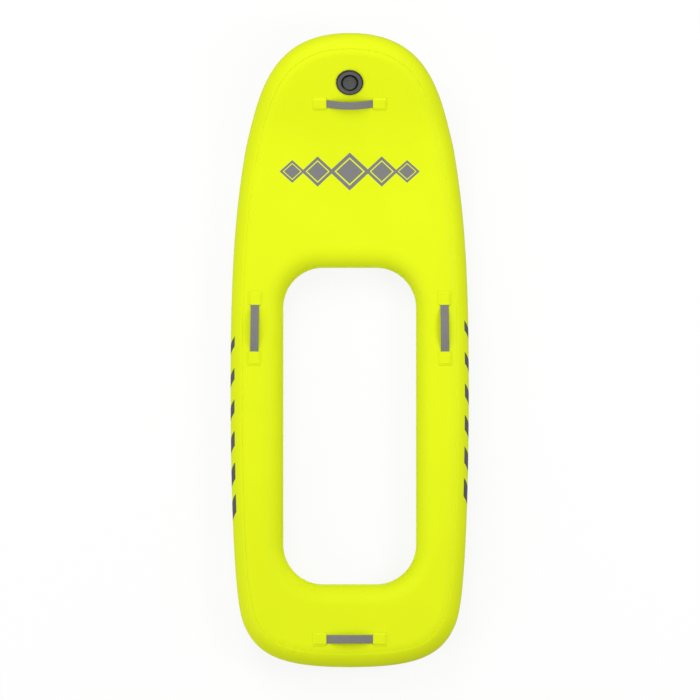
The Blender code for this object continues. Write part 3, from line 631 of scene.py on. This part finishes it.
def rounded_square(half, corner, per_side):
    """Points round a rounded square, the same number on each side and its corner."""
    arc = per_side // 3
    straight = per_side - arc
    points = []
    for quarter in range(4):
        c, n = ((1, 0), (0, 1), (-1, 0), (0, -1))[quarter]
        turn = np.array(((c, -n), (n, c)))
        for share in np.linspace(-1.0, 1.0, straight, endpoint=False):
            points.append(turn @ (half, share * (half - corner)))
        for share in np.arange(arc) / arc:
            angle = share * math.pi / 2
            points.append(turn @ (half - corner + corner * math.cos(angle),
                                  half - corner + corner * math.sin(angle)))
    return np.array(points)


def patch_drape(u, v):
    """Height of a patch's underside where it lies over the webbing's end."""
    over_u = smooth((STRAP_HALF + SEAT + PATCH_TOE - u) / PATCH_TOE)
    over_v = smooth((WEBBING_WIDTH / 2 + SEAT + PATCH_TOE - np.abs(v)) / PATCH_TOE)
    return PATCH_WELD + (WEBBING_THICKNESS + 2 * SEAT - PATCH_WELD) * over_u * over_v


def make_patch(name, place, end, material):
    """A rounded square of fabric draped over one end of a strap, end 1 or -1 along u."""
    outline = rounded_square(PATCH_SIZE / 2, PATCH_CORNER, PATCH_SIDE_POINTS)
    shares = np.concatenate([1.0 - PATCH_EDGE_INSETS * 2 / PATCH_SIZE,
                             np.linspace(*PATCH_RING_SHARES, PATCH_RINGS)])
    rings = [outline * share for share in shares]
    centre = np.zeros((1, 2))
    sheet = np.vstack([*rings, centre])
    u = sheet[:, 0] + HANDLE_OPEN / 2 + PATCH_SIZE / 2
    v = sheet[:, 1]
    columns = len(outline)
    edge = np.repeat([*PATCH_EDGE_DROPS, *[0.0] * PATCH_RINGS], columns)
    edge = np.concatenate([edge, [0.0]]) * PATCH_THICKNESS
    low = patch_drape(u, v)
    faces = band_faces(len(rings), columns)
    last = (len(rings) - 1) * columns
    faces += [(last + i, last + (i + 1) % columns, len(sheet) - 1) for i in range(columns)]
    if end < 0:
        faces = [face[::-1] for face in faces]
    upper = place.lay(np.column_stack([u * end, v, low + PATCH_THICKNESS - edge]))
    lower = place.lay(np.column_stack([u * end, v, low]))
    to_edge = np.repeat((1.0 - shares) * PATCH_SIZE / 2, columns)
    cloth = np.column_stack([u, v, np.concatenate([to_edge, [PATCH_SIZE / 2]])])
    points, faces = two_layers(upper, lower, faces)
    return new_piece(name, points, faces, material, sharp_angle=50.0,
                     cloth=np.vstack([cloth, cloth]))


# Valve, turned in millimetres about its own axis

def valve_matrix():
    turn = next(joint for joint in frame["joints"] if joint["name"] == "cap_turn")
    up = Vector(turn["axis"]).normalized()
    across = Vector((1.0, 0.0, 0.0))
    matrix = Matrix((across, up.cross(across), up)).transposed().to_4x4()
    matrix.translation = turn["pos_m"]
    return matrix


def filleted(profile):
    """The profile with its corners rounded, in the same order."""
    points = [Vector(point) for point in profile]
    closed = min(point.x for point in points) > 0.0
    rounded = []
    for i, corner in enumerate(points):
        if not closed and i in (0, len(points) - 1):
            rounded.append(corner)
            continue
        before, after = points[i - 1] - corner, points[(i + 1) % len(points)] - corner
        cut = min(FILLET_RADIUS, FILLET_SHARE * before.length, FILLET_SHARE * after.length)
        start, end = corner + before.normalized() * cut, corner + after.normalized() * cut
        for share in np.linspace(0.0, 1.0, FILLET_STEPS + 1):
            pair = start.lerp(corner, share), corner.lerp(end, share)
            rounded.append(pair[0].lerp(pair[1], share))
    return rounded


def turned(name, profile, matrix, material, flutes=None):
    """Turns a profile of (radius, height) about the valve's axis, from its top outward."""
    section = filleted(profile)
    points, cloth = [], []
    closed = min(point.x for point in section) > 0.0
    rings = section if closed else section[1:-1]
    for r, h in rings:
        for step in range(TURNED_STEPS):
            angle = FULL_TURN * step / TURNED_STEPS
            reach = r + (flutes(r, h, angle) if flutes else 0.0)
            points.append(matrix @ Vector((reach * math.cos(angle), reach * math.sin(angle), h)))
            cloth.append((reach, angle, h))
    faces = [face[::-1] for face in band_faces(len(rings), TURNED_STEPS, closed_rows=closed)]
    if not closed:
        last = (len(rings) - 1) * TURNED_STEPS
        top = len(points)
        for r, h in (section[0], section[-1]):
            points.append(matrix @ Vector((r, 0.0, h)))
            cloth.append((r, 0.0, h))
        for i in range(TURNED_STEPS):
            j = (i + 1) % TURNED_STEPS
            faces += [(i, j, top), (last + j, last + i, top + 1)]
    return new_piece(name, points, faces, material, sharp_angle=35.0, cloth=cloth)


def flange_profile():
    groove = [(radius, FLANGE_TOP - depth) for radius, depth in FLANGE_GROOVE]
    edge = [(FLANGE_OUTSIDE - back, FLANGE_TOP - down) for back, down in FLANGE_EDGE]
    return ((SLEEVE_BORE, FLANGE_TOP), *groove, *edge, (FLANGE_OUTSIDE, FLANGE_UNDERSIDE),
            (SLEEVE_OUTSIDE, FLANGE_UNDERSIDE), (SLEEVE_OUTSIDE, SLEEVE_END),
            (SLEEVE_BORE, SLEEVE_END))


def cap_profile():
    return ((0.0, CAP_TOP - CAP_DISH), (CAP_DISH_RADIUS, CAP_TOP - CAP_DISH),
            (CAP_RIM_INSIDE, CAP_TOP), (CAP_UPPER_RADIUS, CAP_TOP),
            (CAP_UPPER_RADIUS, CAP_STEP), (CAP_LOWER_RADIUS, CAP_STEP),
            (CAP_LOWER_RADIUS, CAP_END), (CAP_BORE, CAP_END), (CAP_BORE, CAP_CROWN),
            (0.0, CAP_CROWN))


def cap_flutes(r, h, angle):
    """Shallow finger flutes round the knob's upper tier."""
    low, high = FLUTE_HEIGHTS
    if not low < h < high or r < FLUTE_INSIDE:
        return 0.0
    return -FLUTE_DEPTH * (0.5 - 0.5 * math.cos(CAP_FLUTES * angle)) ** 2


# Materials

class Finish:
    """A procedural material under construction."""

    def __init__(self, name, roughness, specular=0.5, metallic=0.0):
        self.material = bpy.data.materials.new(name)
        self.material.use_nodes = True
        self.tree = self.material.node_tree
        self.shader = self.tree.nodes["Principled BSDF"]
        self.shader.inputs["Roughness"].default_value = roughness
        self.shader.inputs["Specular IOR Level"].default_value = specular
        self.shader.inputs["Metallic"].default_value = metallic
        self.bump = None

    def node(self, kind, **settings):
        node = self.tree.nodes.new("ShaderNode" + kind)
        for key, value in settings.items():
            setattr(node, key, value)
        return node

    def link(self, source, target):
        self.tree.links.new(source, target)

    def calc(self, operation, *values):
        """One Math node; each value is a number or a socket."""
        node = self.node("Math", operation=operation)
        for number, value in enumerate(values):
            if isinstance(value, (int, float)):
                node.inputs[number].default_value = value
            else:
                self.link(value, node.inputs[number])
        return node.outputs[0]

    def place(self):
        return self.node("TexCoord").outputs["Object"]

    def cloth(self):
        """The cloth's own coordinates: x, s and the third that the piece gives."""
        stored = self.node("Attribute", attribute_name="cloth", attribute_type="GEOMETRY")
        split = self.node("SeparateXYZ")
        self.link(stored.outputs["Vector"], split.inputs[0])
        return split.outputs

    def noise(self, scale, detail=2.0, roughness=0.5, stretch=None):
        vector = self.place()
        if stretch:
            mapping = self.node("Mapping")
            mapping.inputs["Scale"].default_value = stretch
            self.link(vector, mapping.inputs["Vector"])
            vector = mapping.outputs["Vector"]
        noise = self.node("TexNoise")
        noise.inputs["Scale"].default_value = scale
        noise.inputs["Detail"].default_value = detail
        noise.inputs["Roughness"].default_value = roughness
        self.link(vector, noise.inputs["Vector"])
        return noise.outputs[0]

    def spread(self, value, low, high):
        """Maps 0.25..0.75 of a noise to low..high."""
        span = self.node("MapRange")
        span.inputs["From Min"].default_value = 0.25
        span.inputs["From Max"].default_value = 0.75
        span.inputs["To Min"].default_value = low
        span.inputs["To Max"].default_value = high
        self.link(value, span.inputs["Value"])
        return span.outputs["Result"]

    def mix(self, factor, first, second):
        """Mixes two colours, each a triple or a socket."""
        mix = self.node("Mix", data_type="RGBA")
        self.link(factor, mix.inputs["Factor"])
        for socket, colour in ((mix.inputs[MIX_FIRST], first), (mix.inputs[MIX_SECOND], second)):
            if isinstance(colour, tuple):
                socket.default_value = (*colour, 1.0)
            else:
                self.link(colour, socket)
        return mix.outputs[MIX_RESULT]

    def shades(self, colour, scale, amount):
        """The colour with slow lighter and darker areas."""
        dark = tuple(c * (1.0 - amount) for c in colour)
        light = tuple(min(c * (1.0 + amount), 1.0) for c in colour)
        return self.mix(self.spread(self.noise(scale, 3.0), 0.0, 1.0), dark, light)

    def relief(self, height, distance, strength):
        bump = self.node("Bump")
        bump.inputs["Distance"].default_value = distance
        bump.inputs["Strength"].default_value = strength
        self.link(height, bump.inputs["Height"])
        if self.bump:
            self.link(self.bump, bump.inputs["Normal"])
        self.bump = bump.outputs["Normal"]

    def done(self, colour, roughness=None):
        self.link(colour, self.shader.inputs["Base Color"])
        if roughness is not None:
            self.link(roughness, self.shader.inputs["Roughness"])
        if self.bump:
            self.link(self.bump, self.shader.inputs["Normal"])
        return self.material


def coated(name, colour):
    """Satin PVC coating over a woven base that prints through it faintly."""
    finish = Finish(name, roughness=0.5, specular=0.07)
    finish.relief(finish.noise(700.0, 2.0, 0.6), 0.10 * MM, 0.35)
    finish.relief(finish.noise(90.0, 3.0), 0.30 * MM, 0.20)
    return finish, finish.shades(colour, 5.0, 0.022)


def emblem_mask(finish):
    """A row of five plain diamonds, each with a thin open outline inside its edge."""
    x, s, girth = finish.cloth()
    mask = None
    for place, half_width, half_height in DIAMONDS:
        aside = finish.calc("ABSOLUTE", finish.calc("SUBTRACT", x, place))
        ahead = finish.calc("ABSOLUTE", finish.calc("SUBTRACT", s, EMBLEM_S))
        reach = finish.calc("ADD", finish.calc("DIVIDE", aside, half_width),
                            finish.calc("DIVIDE", ahead, half_height))
        solid = finish.calc("LESS_THAN", reach, 1.0)
        line = finish.calc("COMPARE", reach, *DIAMOND_LINE)
        one = finish.calc("MULTIPLY", solid, finish.calc("SUBTRACT", 1.0, line))
        mask = one if mask is None else finish.calc("MAXIMUM", mask, one)
    deck = finish.calc("GREATER_THAN", girth, 0.0)
    return finish.calc("MULTIPLY", mask, deck)


def rail_bar_mask(finish):
    """Slanted bars along both rails, wider towards the tail."""
    x, s, girth = finish.cloth()
    starboard = finish.calc("GREATER_THAN", x, 0.0)
    start = finish.calc("MULTIPLY_ADD", starboard, BARS_STARBOARD_LEAD, BARS_START)
    run = finish.calc("DIVIDE", finish.calc("SUBTRACT", start, s), BARS_LENGTH)
    distance = finish.calc("MULTIPLY", run, BARS_LENGTH)
    slanted = finish.calc("MULTIPLY_ADD", girth, BAR_SLANT, distance)
    cycle = finish.calc("FRACT", finish.calc("DIVIDE", slanted, BAR_PITCH))
    duty = finish.calc("MULTIPLY_ADD", run, BAR_SHARE_GAIN, BAR_SHARE)
    bar = finish.calc("LESS_THAN", cycle, duty)
    tall = finish.calc("LESS_THAN", finish.calc("ABSOLUTE", girth), BAR_HALF_HEIGHT)
    begun = finish.calc("GREATER_THAN", slanted, 0.0)
    ended = finish.calc("LESS_THAN", slanted, BARS_END)
    return finish.calc("MULTIPLY", finish.calc("MULTIPLY", bar, tall),
                       finish.calc("MULTIPLY", begun, ended))


def satin(finish):
    """The coating's roughness, with slow changes of gloss."""
    return finish.spread(finish.noise(25.0), *SATIN_ROUGHNESS)


def printed(finish, colour, mask, ink):
    """Ink over the coating: its own colour and a duller surface."""
    shade = finish.mix(mask, colour, finish.shades(ink, 30.0, 0.03))
    return finish.done(shade, finish.calc("MULTIPLY_ADD", mask, INK_DULLNESS, satin(finish)))


def deck_finish():
    finish, colour = coated("coated_fabric_deck", LIME)
    return printed(finish, colour, emblem_mask(finish), INK)


def band_finish():
    finish, colour = coated("coated_fabric_band", LIME)
    return printed(finish, colour, rail_bar_mask(finish), RAIL_INK)


def plain_coated_finish(name):
    finish, colour = coated(name, LIME)
    return finish.done(colour, satin(finish))


def patch_finish():
    """The same fabric; a fine line of painted shade darkens its very edge, where the patch steps
    down onto the deck.
    """
    finish, colour = coated("patch_fabric_lime", PATCH_LIME)
    to_edge = finish.cloth()[2]
    # Painted shade, full at the patch's very edge and gone a little way in
    near = finish.node("MapRange")
    near.inputs["From Min"].default_value, near.inputs["From Max"].default_value = PATCH_PAINTED_SHADE_SPAN
    near.inputs["To Min"].default_value = PATCH_PAINTED_SHADE_STRENGTH
    near.inputs["To Max"].default_value = 0.0
    finish.link(to_edge, near.inputs["Value"])
    shade = tuple(c * PATCH_PAINTED_SHADE for c in PATCH_LIME)
    return finish.done(finish.mix(near.outputs["Result"], colour, shade),
                       finish.spread(finish.noise(40.0), 0.46, 0.58))


def webbing_finish():
    """Woven polyester: picks across it, warp ribs along it, three faint lighter warps, and
    painted shade in the weave's hollows.
    """
    finish = Finish("webbing_grey", roughness=0.85, specular=0.25)
    u, v = finish.cloth()[:2]
    picks = finish.calc("SINE", finish.calc("MULTIPLY", u, FULL_TURN / PICK_LENGTH))
    warps = finish.calc("SINE", finish.calc("MULTIPLY", v, FULL_TURN / WARP_WIDTH))
    weave = finish.calc("MULTIPLY", picks, warps)
    finish.relief(weave, 0.12 * MM, 0.8)
    finish.relief(finish.noise(1800.0, 2.0), 0.06 * MM, 0.6)
    stripe = finish.calc("COSINE", finish.calc("MULTIPLY", v, FULL_TURN / STRIPE_WIDTH))
    base = finish.shades(WEBBING_GREY, 120.0, 0.06)
    lighter = tuple(c * STRIPE_SHADE for c in WEBBING_GREY)
    factor = finish.calc("MULTIPLY_ADD", stripe, STRIPE_STRENGTH, STRIPE_STRENGTH)
    threads = finish.mix(factor, base, lighter)
    # Painted shade, darkest where the weave's relief is lowest
    dark = tuple(c * WEAVE_PAINTED_SHADE for c in WEBBING_GREY)
    hollow_painted_shade = finish.calc("MULTIPLY_ADD", weave, -WEAVE_PAINTED_SHADE_SPREAD, WEAVE_PAINTED_SHADE_BIAS)
    return finish.done(finish.mix(finish.calc("MAXIMUM", hollow_painted_shade, 0.0), threads, dark),
                       finish.spread(finish.noise(300.0), 0.78, 0.92))


def plastic_finish(name, colour, roughness, painted_shade_radii=None):
    """Moulded plastic with a spark-eroded grain; painted shade can darken it from one radius to
    another, and it stays dark beyond.
    """
    finish = Finish(name, roughness=roughness, specular=0.45)
    finish.relief(finish.noise(2600.0, 2.0, 0.6), 0.05 * MM, 0.5)
    shade = finish.shades(colour, 60.0, 0.05)
    # Painted shade, not the plastic's own colour: darker outward from the first radius, where the
    # rim rounds away
    if painted_shade_radii:
        edge = finish.node("MapRange")
        edge.inputs["From Min"].default_value, edge.inputs["From Max"].default_value = painted_shade_radii
        finish.link(finish.cloth()[0], edge.inputs["Value"])
        dark = tuple(c * RIM_PAINTED_SHADE_LEVEL for c in colour)
        shade = finish.mix(edge.outputs["Result"], shade, dark)
    gloss = finish.spread(finish.noise(160.0), roughness - 0.06, roughness + 0.08)
    return finish.done(shade, gloss)


def rubber_finish():
    finish = Finish("seal_rubber_black", roughness=0.7, specular=0.35)
    finish.relief(finish.noise(1500.0), 0.05 * MM, 0.4)
    return finish.done(finish.shades(RUBBER_BLACK, 80.0, 0.15),
                       finish.spread(finish.noise(200.0), 0.62, 0.78))


def steel_finish():
    finish = Finish("spring_steel_wire", roughness=0.3, metallic=1.0)
    drawn = finish.noise(900.0, 2.0, 0.5, stretch=(1.0, 1.0, 0.15))
    finish.relief(drawn, 0.02 * MM, 0.4)
    return finish.done(finish.shades(STEEL_GREY, 120.0, 0.05),
                       finish.spread(drawn, 0.24, 0.38))


def yarn_finish():
    """Twisted white polyester."""
    finish = Finish("polyester_yarn_white", roughness=0.9, specular=0.2)
    finish.relief(finish.noise(1200.0, 3.0, 0.6, stretch=(1.0, 1.0, 0.3)), 0.15 * MM, 0.6)
    return finish.done(finish.shades(YARN_WHITE, 40.0, 0.05),
                       finish.spread(finish.noise(400.0), 0.84, 0.96))


# Stage

def make_floor():
    """A plain floor: grey to the light, white where it is seen, and it keeps a faint shadow."""
    mesh = bpy.data.meshes.new("floor")
    corners = [(x, y, FLOOR_Z) for x, y in ((-1, -1), (1, -1), (1, 1), (-1, 1))]
    mesh.from_pydata([(x * FLOOR_SIDE / 2, y * FLOOR_SIDE / 2, z) for x, y, z in corners], [],
                     [(0, 1, 2, 3)])
    material = bpy.data.materials.new("floor")
    material.use_nodes = True
    tree = material.node_tree
    tree.nodes.clear()
    matte = tree.nodes.new("ShaderNodeBsdfDiffuse")
    white = tree.nodes.new("ShaderNodeEmission")
    white.inputs["Color"].default_value = WHITE
    path = tree.nodes.new("ShaderNodeLightPath")
    seen = path.outputs["Is Camera Ray"]
    for ray in ("Is Glossy Ray", "Is Transmission Ray"):
        either = tree.nodes.new("ShaderNodeMath")
        either.operation = "MAXIMUM"
        tree.links.new(seen, either.inputs[0])
        tree.links.new(path.outputs[ray], either.inputs[1])
        seen = either.outputs[0]
    colour = tree.nodes.new("ShaderNodeMixRGB")
    colour.inputs[1].default_value, colour.inputs[2].default_value = FLOOR_GREY, WHITE
    tree.links.new(seen, colour.inputs[0])
    tree.links.new(colour.outputs[0], matte.inputs["Color"])
    share = tree.nodes.new("ShaderNodeMath")
    share.operation = "MULTIPLY"
    share.inputs[1].default_value = FLOOR_WHITE_SHARE
    mix = tree.nodes.new("ShaderNodeMixShader")
    out = tree.nodes.new("ShaderNodeOutputMaterial")
    tree.links.new(seen, share.inputs[0])
    tree.links.new(share.outputs[0], mix.inputs[0])
    tree.links.new(matte.outputs[0], mix.inputs[1])
    tree.links.new(white.outputs[0], mix.inputs[2])
    tree.links.new(mix.outputs[0], out.inputs["Surface"])
    mesh.materials.append(material)
    floor = bpy.data.objects.new("floor", mesh)
    bpy.context.scene.collection.objects.link(floor)


def make_world(strength):
    """Even light from all round, and white where the camera sees past the floor."""
    world = bpy.data.worlds.new("studio")
    bpy.context.scene.world = world
    world.use_nodes = True
    tree = world.node_tree
    tree.nodes.clear()
    dome = tree.nodes.new("ShaderNodeBackground")
    dome.inputs["Strength"].default_value = strength
    white = tree.nodes.new("ShaderNodeBackground")
    white.inputs["Strength"].default_value = 1.0
    path = tree.nodes.new("ShaderNodeLightPath")
    mix = tree.nodes.new("ShaderNodeMixShader")
    out = tree.nodes.new("ShaderNodeOutputWorld")
    tree.links.new(path.outputs["Is Camera Ray"], mix.inputs[0])
    tree.links.new(dome.outputs[0], mix.inputs[1])
    tree.links.new(white.outputs[0], mix.inputs[2])
    tree.links.new(mix.outputs[0], out.inputs["Surface"])


def make_lamp(name, place, power, diameter):
    """A wide soft lamp that faces the board and isn't seen itself."""
    light = bpy.data.lights.new(name, "AREA")
    light.shape = "DISK"
    light.size = diameter
    light.energy = power
    lamp = bpy.data.objects.new(name, light)
    lamp.location = place
    lamp.rotation_mode = "QUATERNION"
    lamp.rotation_quaternion = Vector(place).to_track_quat("Z", "Y")
    lamp.visible_camera = False
    bpy.context.scene.collection.objects.link(lamp)


def make_camera():
    """Straight above, from so far that the view is all but parallel."""
    camera = bpy.data.cameras.new("camera")
    camera.lens = CAMERA_LENS
    camera.sensor_width = CAMERA_SENSOR
    view_width = PHOTO_PIXELS * METRES_PER_PIXEL
    distance = view_width * CAMERA_LENS / CAMERA_SENSOR
    camera.clip_end = distance * 1.5
    eye = bpy.data.objects.new("camera", camera)
    x = (PHOTO_PIXELS / 2 - BOARD_MIDDLE_PIXEL[0]) * METRES_PER_PIXEL
    y = (BOARD_MIDDLE_PIXEL[1] - PHOTO_PIXELS / 2) * METRES_PER_PIXEL
    eye.location = (x, y, HALF_THICKNESS + distance)
    bpy.context.scene.collection.objects.link(eye)
    bpy.context.scene.camera = eye


# Everything together

def make_fabric(rail, cutout, swell, rng):
    rail_ripples = Ripples(rail, PUCKER_WAVES, PUCKER_COUNT, rng)
    cutout_ripples = Ripples(cutout, PUCKER_WAVES, PUCKER_COUNT, rng)
    turns = np.arange(HOLE_POINTS) * FULL_TURN / HOLE_POINTS
    hole = np.column_stack([VALVE_HOLE * np.cos(turns), VALVE_S + VALVE_HOLE * np.sin(turns)])
    deck = make_skin("deck_fabric", 1, rail, cutout, rail_ripples, cutout_ripples, swell,
                     deck_finish(), hole)
    hull = make_skin("hull_fabric", -1, rail, cutout, rail_ripples, cutout_ripples, swell,
                     plain_coated_finish("coated_fabric_hull"))
    band = make_wrap("rail_band_fabric", rail, seam_angle(rail[:, 1]), rail_ripples, swell,
                     band_finish())
    tape = make_wrap("cutout_tape_fabric", cutout, TAPE_EDGE, cutout_ripples, swell,
                     plain_coated_finish("coated_fabric_tape"))
    stand_for(deck, "board", "coated_fabric", *panels("deck_skin"))
    stand_for(hull, "board", "coated_fabric", *panels("hull_skin"))
    stand_for(band, "board", "coated_fabric", *panels("rail_band"))
    stand_for(tape, "board", "coated_fabric", "cutout_tape")


def make_handles(rail, swell):
    webbing, patch_fabric = webbing_finish(), patch_finish()
    along = math.pi / 2
    handles = (
        ("nose", 0.0, NOSE_HANDLE_S, 0.0, ("port", "starboard")),
        ("tail", 0.0, TAIL_HANDLE_S, 0.0, ("port", "starboard")),
        ("starboard", SIDE_HANDLE_X, SIDE_HANDLE_S, along + SIDE_HANDLE_TOE_IN, ("aft", "fore")),
        ("port", -SIDE_HANDLE_X, SIDE_HANDLE_S, along - SIDE_HANDLE_TOE_IN, ("aft", "fore")),
    )
    for where, x, s, angle, ends in handles:
        place = DeckPlace(x, s, angle, rail, swell)
        strap = make_strap(f"{where}_webbing", place, webbing)
        stand_for(strap, "board", "webbing", f"{where}_handle_strap")
        for end, side in zip((-1, 1), ends):
            patch = make_patch(f"{where}_patch_{side}", place, end, patch_fabric)
            stand_for(patch, "board", "patch_fabric", f"{where}_handle_patch_{side}")


def make_valve():
    matrix = valve_matrix() @ Matrix.Scale(MM, 4)
    # The ring carries painted shade on its rounded outer rim
    ring_plastic = plastic_finish("valve_plastic_ring", RING_GREY, 0.46, FLANGE_PAINTED_SHADE)
    knob_plastic = plastic_finish("cap_plastic_knob", KNOB_GREY, 0.42)
    rubber = rubber_finish()
    flange = turned("valve_ring", flange_profile(), matrix, ring_plastic)
    stand_for(flange, "board", "valve_plastic", "valve_flange")
    cap = turned("valve_knob", cap_profile(), matrix, knob_plastic, flutes=cap_flutes)
    stand_for(cap, "cap", "cap_plastic", "valve_cap")
    inner_plastic = plastic_finish("valve_plastic_inner", RING_GREY, 0.50)
    steel, yarn = steel_finish(), yarn_finish()
    finishes = {
        "valve_back_nut": inner_plastic, "valve_insert": inner_plastic,
        "valve_stem": inner_plastic, "valve_poppet": inner_plastic,
        "valve_gasket": rubber, "valve_poppet_seal": rubber, "valve_cap_seal": rubber,
        "valve_spring": steel, "drop_stitch_yarns": yarn,
    }
    for node, finish in finishes.items():
        frame["nodes"][node].data.materials.clear()
        frame["nodes"][node].data.materials.append(finish)


def main():
    rng = np.random.default_rng(RANDOM_SEED)
    rail = rail_stations(STATION_SPACING)
    cutout = cutout_stations(STATION_SPACING)
    swell = Swell(rng)
    make_camera()
    make_floor()
    make_world(DOME_STRENGTH)
    for lamp in LAMPS:
        make_lamp(*lamp)
    make_fabric(rail, cutout, swell, rng)
    make_handles(rail, swell)
    make_valve()
    bpy.context.scene.view_settings.view_transform = "Standard"


main()
